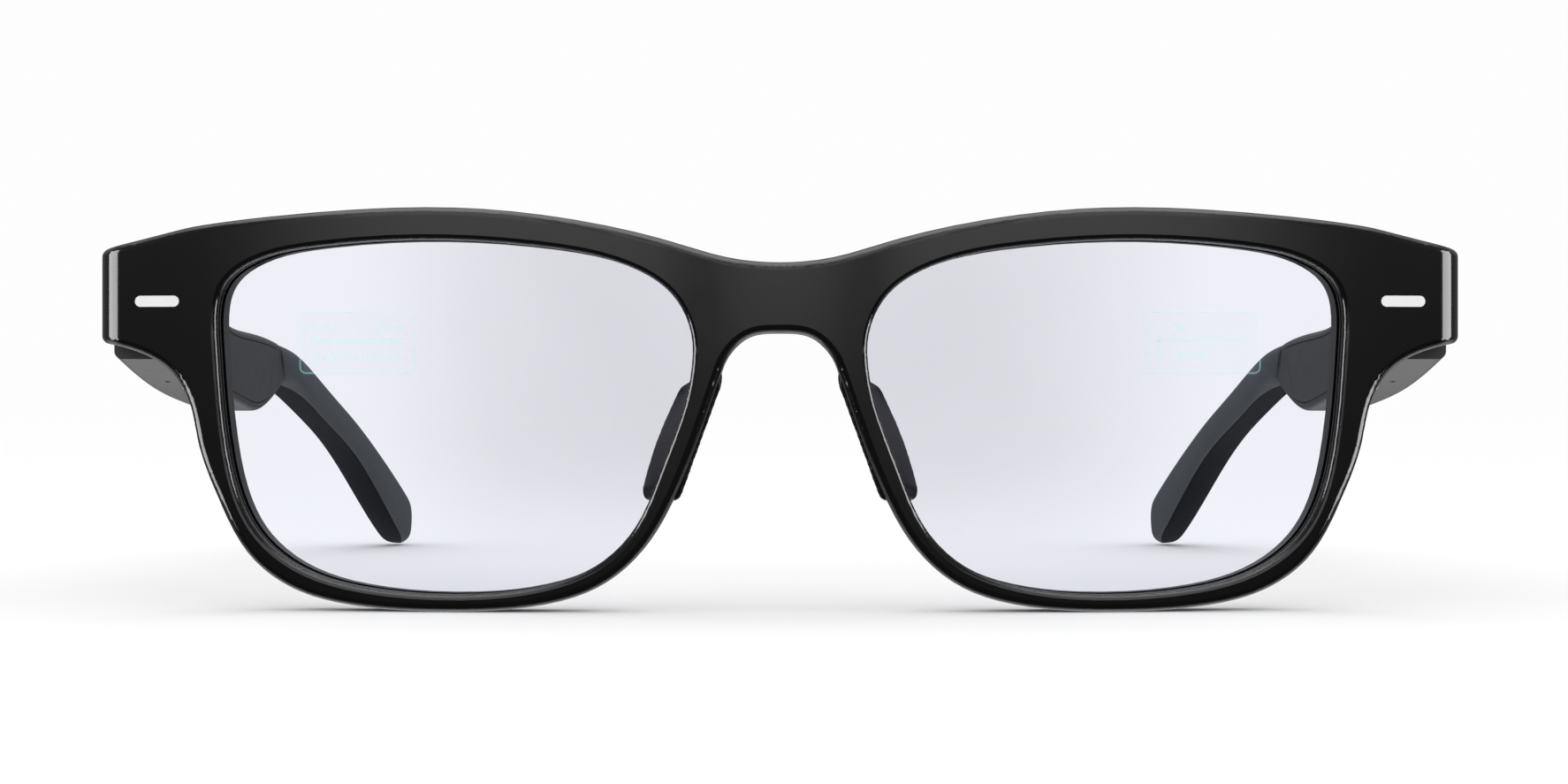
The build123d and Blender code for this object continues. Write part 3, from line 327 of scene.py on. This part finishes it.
def temple_plastic(finish):
    cloud = finish.noise(7 * MM, 3)
    finish.set(base_color=finish.mix(cloud, grey(0.026, SLATE), grey(0.036, SLATE)))
    finish.set(roughness=finish.noise(2 * MM) * 0.08 + 0.30)
    finish.bump(finish.noise(0.25 * MM, 2), 0.08, 0.02 * MM)


def button_plastic(finish):
    finish.set(base_color=finish.mix(finish.noise(2 * MM), grey(0.010), grey(0.018)))
    finish.set(roughness=finish.noise(0.8 * MM) * 0.1 + 0.22)
    finish.bump(finish.noise(0.2 * MM), 0.08, 0.02 * MM)


def soft_pad(finish):
    finish.set(base_color=finish.mix(finish.noise(3 * MM), grey(0.004), grey(0.008, (0, 0, 0.003))))
    finish.set(roughness=finish.noise(1 * MM) * 0.08 + 0.20, specular_ior_level=0.3)
    finish.bump(finish.noise(0.3 * MM), 0.06, 0.02 * MM)


# %% [markdown]
# ## Rubber
# The ear tips are matt rubber in two depths of slate, a lit and a shaded copy of one material: lighter,
# painted light, on the side towards the head, and nearly black, painted shade, outside and underneath.
# One function makes both, and a seal's rubber has no colour at all.


# %% Rubber
RUBBER_TINT = (-0.08, 0.06, 0.15)  # shares of a grey that turn it slate


def rubber(low, high, gloss):
    """A grained rubber that clouds between two greys."""

    def fill(finish):
        cloud = finish.noise(8 * MM, 3)
        darker, lighter = [grey(level, [level * share for share in RUBBER_TINT]) for level in (low, high)]
        finish.set(base_color=finish.mix(cloud, darker, lighter))
        finish.set(roughness=finish.noise(1.5 * MM) * 0.12 + 0.50, specular_ior_level=gloss)
        finish.bump(finish.noise(0.18 * MM, 2), 0.12, 0.02 * MM)

    return fill


def seal(finish):
    finish.set(base_color=finish.mix(finish.noise(2 * MM), grey(0.004), grey(0.012)))
    finish.set(roughness=finish.noise(0.5 * MM) * 0.2 + 0.4)


# %% [markdown]
# ## Clear and white pieces
# A lens could be glass with refraction, but its faces lie so close together that it would hardly bend
# what stands behind it, and only slow the render. So light goes straight through with a slight tint, and
# a small share of a polished dark shader adds the reflection. That share is largest beside the nose, a
# painted reflection of the lens's coating, which leaves the lens a little greyer there. The display's
# film and marks are nearly clear, and the pills on the end pieces are plain milky white.


# %% Clear and white pieces
PAINTED_REFLECTION_FROM, PAINTED_REFLECTION_TO = 1.3, 0.78  # shares of the lens's inner and outer X between which the painted reflection fades
PAINTED_REFLECTION_RISE = 0.45  # share of the lens's height over which the painted reflection comes in
PAINTED_REFLECTION_BELOW = 0.2  # share of the painted reflection that is left at the bottom
THROUGH = (0.981, 0.984, 1.0, 1)


def tint_and_painted_reflection(finish, weakest, strongest):
    """Share of the dark shader on a lens's face: a faint tint, with a painted reflection that is most
    beside the nose and least at the temple side.
    """
    x, _, z = finish.axes()
    lo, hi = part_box("left_lens")
    outward = (x * x).smooth((lo.x * PAINTED_REFLECTION_FROM) ** 2, (hi.x * PAINTED_REFLECTION_TO) ** 2)
    upward = z.smooth(lo.z, lo.z + PAINTED_REFLECTION_RISE * (hi.z - lo.z))
    cloud = finish.noise(16 * MM, 1) * 0.4 + 0.8
    height_share = upward * (1 - PAINTED_REFLECTION_BELOW) + PAINTED_REFLECTION_BELOW
    return (1 - outward) * height_share * cloud * (strongest - weakest) + weakest


def clear_lens(finish):
    """Clear plastic that lets tinted light through, and adds a weak polished reflection, with a painted
    reflection beside the nose.
    """
    cloud = finish.noise(22 * MM, 1)
    finish.set(base_color=finish.mix(cloud, (0.004, 0.006, 0.02, 1), (0.008, 0.005, 0.03, 1)))
    finish.set(roughness=finish.noise(6 * MM) * 0.02 + 0.02)
    through = finish.node("ShaderNodeBsdfTransparent", None, {"Color": THROUGH})
    # the dark shader's share is the tint with a painted reflection, most beside the nose
    inputs = {0: tint_and_painted_reflection(finish, 0.016, 0.070), 1: through.outputs[0], 2: finish.main.outputs[0]}
    both = finish.node("ShaderNodeMixShader", None, inputs)
    finish.plug(finish.tree.nodes["Material Output"].inputs["Surface"], both.outputs[0])


def display_film(finish):
    finish.set(base_color=finish.mix(finish.noise(2 * MM), (0.5, 0.85, 0.85, 1), (0.7, 0.9, 0.95, 1)))
    finish.set(roughness=0.3, alpha=finish.noise(1 * MM) * 0.02 + 0.02)


def display_light(finish):
    finish.set(base_color=(0.01, 0.05, 0.05, 1), alpha=finish.noise(1.5 * MM) * 0.06 + 0.09)
    finish.set(emission_color=finish.mix(finish.noise(3 * MM), (0.50, 1, 0.97, 1), (0.60, 1, 1, 1)))
    finish.set(emission_strength=1.0, roughness=0.5)


def white_inlay(finish):
    finish.set(base_color=finish.mix(finish.noise(1.5 * MM), grey(0.88), grey(0.94)))
    finish.set(roughness=finish.noise(0.7 * MM) * 0.15 + 0.35)


# %% [markdown]
# ## Metals and inner pieces
# The hinges are steel whose roughness varies finely, and the charging contacts are gold. The boards,
# cells and cables only show when the glasses are taken apart, so one function that clouds between two
# colours is enough for all of them.


# %% Metals and inner pieces
def steel(finish):
    finish.set(base_color=finish.mix(finish.noise(1.2 * MM, 4), grey(0.42), grey(0.58)), metallic=1.0)
    finish.set(roughness=finish.noise(0.3 * MM, 3) * 0.25 + 0.2)
    finish.bump(finish.noise(0.12 * MM), 0.1, 0.01 * MM)


def gold_contact(finish):
    finish.set(base_color=finish.mix(finish.noise(0.8 * MM), (0.83, 0.58, 0.24, 1), (0.95, 0.70, 0.32, 1)))
    finish.set(metallic=1.0, roughness=finish.noise(0.3 * MM) * 0.15 + 0.15)


def plain_inner(low, high, size, roughness):
    """A finish for pieces that only show when the glasses are taken apart."""

    def fill(finish):
        finish.set(base_color=finish.mix(finish.noise(size * MM, 3), low, high))
        finish.set(roughness=finish.noise(size * MM / 2) * 0.2 + roughness)

    return fill


# %% [markdown]
# ## Giving out the finishes
# Each solid came with slots named after the materials of the record. The dictionary pairs those names
# with the functions above, and the loop puts the new materials in the slots.

# %% Give out the finishes
FINISHES = {
    "glossy_frame": glossy_frame,
    "temple_plastic": temple_plastic,
    "button_plastic": button_plastic,
    "soft_pad": soft_pad,
    # the ear tip's rubber twice: a lit copy with painted light for the side towards the head, and a shaded
    # copy with painted shade
    "ear_rubber": rubber(0.074, 0.090, 0.22),
    "ear_rubber_painted_shade": rubber(0.014, 0.020, 0.015),
    "seal": seal,
    "clear_lens": clear_lens,
    "display_film": display_film,
    "display_light": display_light,
    "white_inlay": white_inlay,
    "steel": steel,
    "gold_contact": gold_contact,
    "projector": plain_inner(grey(0.03), grey(0.06), 1.5, 0.3),
    "flex_cable": plain_inner((0.35, 0.14, 0.02, 1), (0.45, 0.2, 0.04, 1), 2, 0.35),
    "electronics": plain_inner(grey(0.02), grey(0.05), 1, 0.4),
    "board": plain_inner((0.01, 0.08, 0.03, 1), (0.02, 0.13, 0.05, 1), 1.5, 0.35),
    "battery_pouch": plain_inner(grey(0.45), grey(0.6), 3, 0.25),
}
finishes = {}
for slot_name, fill in FINISHES.items():
    finishes[slot_name] = Finish(slot_name)
    fill(finishes[slot_name])
for node in NODES.values():
    for slot in node.material_slots:
        slot.material = finishes[slot.material.name.split(".")[0]].material
print("finishes", len(finishes))


# %% [markdown]
# ## Pieces made again in mesh code
# Each new piece takes its size from the solid that it stands for. A plane that cuts the solid gives the
# box of that section, and rings of points drawn in those boxes become a skin that a subdivision
# surface rounds off.


# %% Mesh helpers
def link_piece(name, mesh, slot_name, body):
    """Put a mesh in the scene with its finish, riding on a body."""
    piece = bpy.data.objects.new(name, mesh)
    bpy.context.scene.collection.objects.link(piece)
    mesh.materials.append(finishes[slot_name].material)
    for face in mesh.polygons:
        face.use_smooth = True
    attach(piece, body)
    return piece


def section_box(node_name, place, normal):
    """Where a plane cuts a solid: the lowest and highest X, and the lowest and highest upward distance."""
    cut = bmesh.new()
    cut.from_mesh(NODES[node_name].data)
    geometry = cut.verts[:] + cut.edges[:] + cut.faces[:]
    result = bmesh.ops.bisect_plane(cut, geom=geometry, plane_co=place, plane_no=normal)
    upward = Vector((0, -normal.z, normal.y))
    points = [item.co.copy() for item in result["geom_cut"] if isinstance(item, bmesh.types.BMVert)]
    cut.free()
    across = [point.x for point in points]
    up = [(point - place).dot(upward) for point in points]
    return min(across), max(across), min(up), max(up)


# %% [markdown]
# ## Rubber ear tips
# The ear tip is moulded over the steel core. A soft ridge runs down the side that faces the head, and
# parts the face towards the head, drawn lighter as painted light, from the underside, drawn dark as painted
# shade, so its section isn't a plain oval. A sculpt or a displacement could make it, but here the section
# itself is drawn twice, once round and once ridged, and each ring is a mix of the two: round at the seam,
# where it meets the housing, then ridged, and nearly round again at the very end.

# %% Ear tips
ROUND_SECTION = [
    (0.50, 0.00), (0.22, 0.01), (0.04, 0.12), (0.00, 0.34), (0.00, 0.72), (0.08, 0.94), (0.30, 1.00),
    (0.70, 1.00), (0.92, 0.94), (1.00, 0.72), (1.00, 0.34), (0.96, 0.12), (0.78, 0.01),
]
RIDGED_SECTION = [
    (0.11, 0.04), (0.05, 0.15), (0.01, 0.32), (0.00, 0.52), (0.00, 0.78), (0.08, 0.94), (0.30, 1.00),
    (0.70, 1.00), (0.92, 0.93), (1.00, 0.72), (1.00, 0.40), (0.93, 0.17), (0.62, 0.05),
]
RIDGE_POINT = 0
RIDGE_CREASE = 0.6
RIDGE_START, RIDGE_GROWTH = 0.03, 0.12  # shares of the tip's length
RIDGE_END, RIDGE_ENDS_AT = 0.93, 0.25
PAINTED_SHADE_POINTS = range(7, 13)  # round the outer side and the underside, drawn with the rubber's painted shade
SEAM_CREASE = 0.8
SEAM_TILT = math.radians(37.5)
TIP_TILT = math.radians(-12)
TILT_LENGTH = 0.22  # share of the tip's length in which the sections turn
TIP_MIDDLE = 12 * MM  # height of the line about which the sections of the drooping part are tilted
FIRST_CUT = 0.002  # a plane on the very end of a solid would miss it
EAR_SWELL = 1.35 * MM
SWELL_LENGTH, SWELL_FADE, SWELL_ZERO = 0.10, 0.5, 1.02  # it grows, then fades towards the end
EAR_SHARES = [0, 0.012, 0.04, 0.10, 0.18, 0.27, 0.36, 0.45, 0.54, 0.63, 0.72, 0.80]  # rings along the tip
EAR_SHARES += [0.87, 0.92, 0.955, 0.98, 0.993, 0.9985]  # closer, where the end rounds off


def ear_section(node_name, share, sign):
    """One ring of points round the ear tip, at a share of its length."""
    lo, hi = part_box(node_name)
    turn = min(share / TILT_LENGTH, 1.0)
    tilt = SEAM_TILT * (1 - turn) + TIP_TILT * turn
    normal = Vector((0, math.cos(tilt), math.sin(tilt)))
    rearward = lo.y + max(share, FIRST_CUT) * (hi.y - lo.y)
    place = Vector((0, rearward, hi.z * (1 - turn) + turn * TIP_MIDDLE))
    near, far, low, high = section_box(node_name, place, normal)
    inner, outer = (near, far) if sign > 0 else (far, near)
    upward = Vector((0, -normal.z, normal.y))
    growth = min(max(share - RIDGE_START, 0) / RIDGE_GROWTH, 1.0)
    ridge = growth * (1 - (1 - RIDGE_ENDS_AT) * max(share - RIDGE_END, 0) / (1 - RIDGE_END))
    swell = min(share / SWELL_LENGTH, 1.0) * min((SWELL_ZERO - share) / SWELL_FADE, 1.0)
    inner -= sign * EAR_SWELL * swell
    ring = []
    for plain, ridged in zip(ROUND_SECTION, RIDGED_SECTION):
        across = plain[0] * (1 - ridge) + ridged[0] * ridge
        up = plain[1] * (1 - ridge) + ridged[1] * ridge
        height = place + upward * (low + up * (high - low))
        ring.append(Vector((inner + across * (outer - inner), height.y, height.z)))
    return ring


def ear_tip(side, sign):
    node_name = f"{side}_ear_tip"
    rings = [ear_section(node_name, share, sign) for share in EAR_SHARES]
    skin = bmesh.new()
    crease = skin.edges.layers.float.new("crease_edge")
    corners = [[skin.verts.new(point) for point in ring] for ring in rings]
    count = len(ROUND_SECTION)
    for near_ring, far_ring in zip(corners, corners[1:]):
        for i in range(count):
            j = (i + 1) % count
            face = skin.faces.new((near_ring[i], near_ring[j], far_ring[j], far_ring[i]))
            # the outer side and the underside get the rubber with painted shade, the rest the one with
            # painted light
            face.material_index = 1 if i in PAINTED_SHADE_POINTS else 0
        skin.edges.get((near_ring[RIDGE_POINT], far_ring[RIDGE_POINT]))[crease] = RIDGE_CREASE
    for ring in (corners[0], corners[-1]):
        cap = skin.faces.new(ring)
        bmesh.ops.poke(skin, faces=[cap])
    for i in range(count):
        skin.edges.get((corners[0][i], corners[0][(i + 1) % count]))[crease] = SEAM_CREASE
    bmesh.ops.recalc_face_normals(skin, faces=skin.faces)
    mesh = bpy.data.meshes.new(f"{side}_ear_tip_skin")
    skin.to_mesh(mesh)
    skin.free()
    # the first finish carries painted light, the second painted shade
    piece = link_piece(f"{side}_ear_tip_skin", mesh, "ear_rubber", f"{side}_temple")
    mesh.materials.append(finishes["ear_rubber_painted_shade"].material)
    rounding = piece.modifiers.new("rounding", "SUBSURF")
    rounding.levels = rounding.render_levels = 2
    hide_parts(node_name)
    print(piece.name, "rings", len(rings))


for side, sign in SIDES.items():
    ear_tip(side, sign)


# %% [markdown]
# ## Nose pads
# A nose pad is a thin silicone leaf pushed on a steel clip. It swells a little in its middle and its
# edges are soft. A subdivision surface would need a mesh of even faces to start from, so the solid is
# remeshed finely instead, smoothed until its corners have gone, and then pushed into its leaf shape.

# %% Nose pads
PAD_VOXEL = 0.28 * MM
PAD_SMOOTHING = 14
PAD_LEAN = math.radians(20)
PAD_SWELL = 1.1 * MM
PAD_RISE = 1.5 * MM
PAD_DROP = 0.9 * MM
PAD_END_ROUND = 0.45
PAD_SWELL_AT_ENDS = 0.35  # share of the swell that is left at the top and the bottom


def shape_pad(mesh, sign):
    """Swell the rear edge outwards, round it off towards both ends, and let the front edge reach higher."""
    lows, highs = zip(*((min(axis), max(axis)) for axis in zip(*(vertex.co for vertex in mesh.vertices))))
    depth = highs[1] - lows[1]
    for vertex in mesh.vertices:
        rearward = (vertex.co.y - lows[1]) / depth
        upward = (vertex.co.z - lows[2]) / (highs[2] - lows[2])
        middle = math.sin(math.pi * upward)
        swell = PAD_SWELL * rearward * (PAD_SWELL_AT_ENDS + (1 - PAD_SWELL_AT_ENDS) * middle)
        rise = PAD_RISE * max(2 * upward - 1, 0) ** 1.5 * (1 - rearward)
        drop = PAD_DROP * (1 - upward) ** 1.5 * rearward
        vertex.co.z += rise - drop
        vertex.co.x += sign * (swell - (rise - drop) * math.tan(PAD_LEAN))
        vertex.co.y -= depth * PAD_END_ROUND * rearward**2 * abs(2 * upward - 1) ** 3


def nose_pad(side, sign):
    node_name = f"{side}_nose_pad"
    mesh = NODES[node_name].data.copy()
    mesh.materials.clear()
    mesh.name = f"{side}_nose_pad_skin"
    piece = link_piece(f"{side}_nose_pad_skin", mesh, "soft_pad", "front")
    remesh = piece.modifiers.new("even_skin", "REMESH")
    remesh.mode = "VOXEL"
    remesh.voxel_size = PAD_VOXEL
    smoothing = piece.modifiers.new("soft_edges", "SMOOTH")
    smoothing.factor = 0.5
    smoothing.iterations = PAD_SMOOTHING
    finished = bpy.data.meshes.new_from_object(piece.evaluated_get(bpy.context.evaluated_depsgraph_get()))
    piece.modifiers.clear()
    piece.data = finished
    shape_pad(finished, sign)
    for face in finished.polygons:
        face.use_smooth = True
    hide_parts(node_name)
    print(piece.name, "points", len(finished.vertices))


for side, sign in SIDES.items():
    nose_pad(side, sign)

# %% [markdown]
# ## The image in the display
# The waveguide throws a small image into each lens: a frame with round corners and a few plain bars,
# with no lettering. A glowing texture on the lens could show it, but the marks would then be lost on a
# plain model. Each mark is a very thin plate just in front of the grating instead, and glows faintly,
# so that it shows pale on a white ground and teal over the dark temple behind it.

# %% Display marks
MARK_THICK = 0.03 * MM
FRAME_LINE = 0.2  # from here on, sizes inside the image are in millimetres
FRAME_CORNER = 0.75
BAR_ROUNDING = 0.35  # share of a bar's shorter side
CORNER_STEPS = 6


def round_outline(width, height, corner):
    """Points round a rectangle with round corners, in millimetres about its middle."""
    points = []
    for turn, (right, up) in enumerate([(1, 1), (-1, 1), (-1, -1), (1, -1)]):
        middle = Vector((right * (width / 2 - corner), up * (height / 2 - corner)))
        for step in range(CORNER_STEPS + 1):
            angle = math.radians(90) * (turn + step / CORNER_STEPS)
            points.append(middle + corner * Vector((math.cos(angle), math.sin(angle))))
    return points


def add_plate(skin, points, place):
    """A thin plate with an outline, in the display's own plane."""
    back = [skin.verts.new(place @ Vector((p.x * MM, p.y * MM, 0))) for p in points]
    front = [skin.verts.new(place @ Vector((p.x * MM, p.y * MM, MARK_THICK))) for p in points]
    skin.faces.new(front)
    skin.faces.new(back[::-1])
    for i in range(len(points)):
        j = (i + 1) % len(points)
        skin.faces.new((back[i], back[j], front[j], front[i]))


def add_line_frame(skin, width, height, place):
    """A closed line of one width along a rectangle with round corners."""
    outer = round_outline(width, height, FRAME_CORNER)
    inner = round_outline(width - 2 * FRAME_LINE, height - 2 * FRAME_LINE, FRAME_CORNER - FRAME_LINE)
    loops = [
        [skin.verts.new(place @ Vector((p.x * MM, p.y * MM, depth))) for p in points]
        for points, depth in ((outer, 0), (outer, MARK_THICK), (inner, MARK_THICK), (inner, 0))
    ]
    for near_loop, far_loop in zip(loops, loops[1:] + loops[:1]):
        for i in range(len(outer)):
            j = (i + 1) % len(outer)
            skin.faces.new((near_loop[i], near_loop[j], far_loop[j], far_loop[i]))


def bar(middle_x, middle_y, width, height):
    """A bar with round ends at a place in the image."""
    corner = min(width, height) * BAR_ROUNDING
    return [point + Vector((middle_x, middle_y)) for point in round_outline(width, height, corner)]


# %% [markdown]
# ## What the images show
# One lens shows a status card: a long bar with blocks above and below it. The other shows a route: an
# arrow, a line and a few blocks. Rows of blocks come from a formula, so that a row is one line here.

# %% Display images
MARK_AHEAD = 0.11 * MM  # from the middle of the grating to the marks
IMAGE_OUT = 0.32  # how far the image lies outward of its grating
IMAGE_UP = 0.13
IMAGE_WIDER = 0.15

STATUS_IMAGE = [bar(0, 0.2, 10.7, 0.62)]
STATUS_IMAGE += [bar(-5.0 + 0.85 * i, 1.75, 0.55, 0.75) for i in range(4)]
STATUS_IMAGE += [bar(2.6 + 0.8 * i, 1.75, 0.5, 0.9) for i in range(4)]
STATUS_IMAGE += [bar(-4.6 + 0.92 * i, -1.65, 0.6, 0.6 + 0.2 * (i % 3)) for i in range(11)]
ROUTE_IMAGE = [bar(-0.4, 0.35, 9.8, 0.5), bar(-5.05, -0.95, 0.42, 2.5)]
ROUTE_IMAGE += [[Vector((-3.6, 0.7)), Vector((-2.0, 1.5)), Vector((-3.3, 2.3)), Vector((-3.0, 1.5))]]
ROUTE_IMAGE += [bar(-2.9 + 0.95 * i, -1.5, 0.7, 0.95) for i in range(4)]
IMAGES = {"left": ROUTE_IMAGE, "right": STATUS_IMAGE}


def display_image(side):
    grating = f"{side}_display_grating"
    lo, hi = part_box(grating)
    facing = max(NODES[grating].data.polygons, key=lambda face: (round(face.area, 9), -face.normal.y))
    forward = facing.normal.copy()
    rightward = Vector((0, 0, 1)).cross(forward).normalized()
    turn = Matrix((rightward, Vector((0, 0, 1)), forward)).transposed().to_4x4()
    place = Matrix.Translation((lo + hi) / 2 + forward * MARK_AHEAD) @ turn
    width = (hi.x - lo.x) / abs(rightward.x) / MM + IMAGE_WIDER
    place = Matrix.Translation((IMAGE_OUT * MM * SIDES[side], 0, IMAGE_UP * MM)) @ place
    skin = bmesh.new()
    add_line_frame(skin, width, (hi.z - lo.z) / MM, place)
    for outline in IMAGES[side]:
        add_plate(skin, outline, place)
    bmesh.ops.recalc_face_normals(skin, faces=skin.faces)
    mesh = bpy.data.meshes.new(f"{side}_display_image")
    skin.to_mesh(mesh)
    skin.free()
    piece = link_piece(f"{side}_display_image", mesh, "display_light", "front")
    for face in mesh.polygons:
        face.use_smooth = False
    print(piece.name, "marks", len(IMAGES[side]), "facing", [round(c, 3) for c in forward])


for side in SIDES:
    display_image(side)
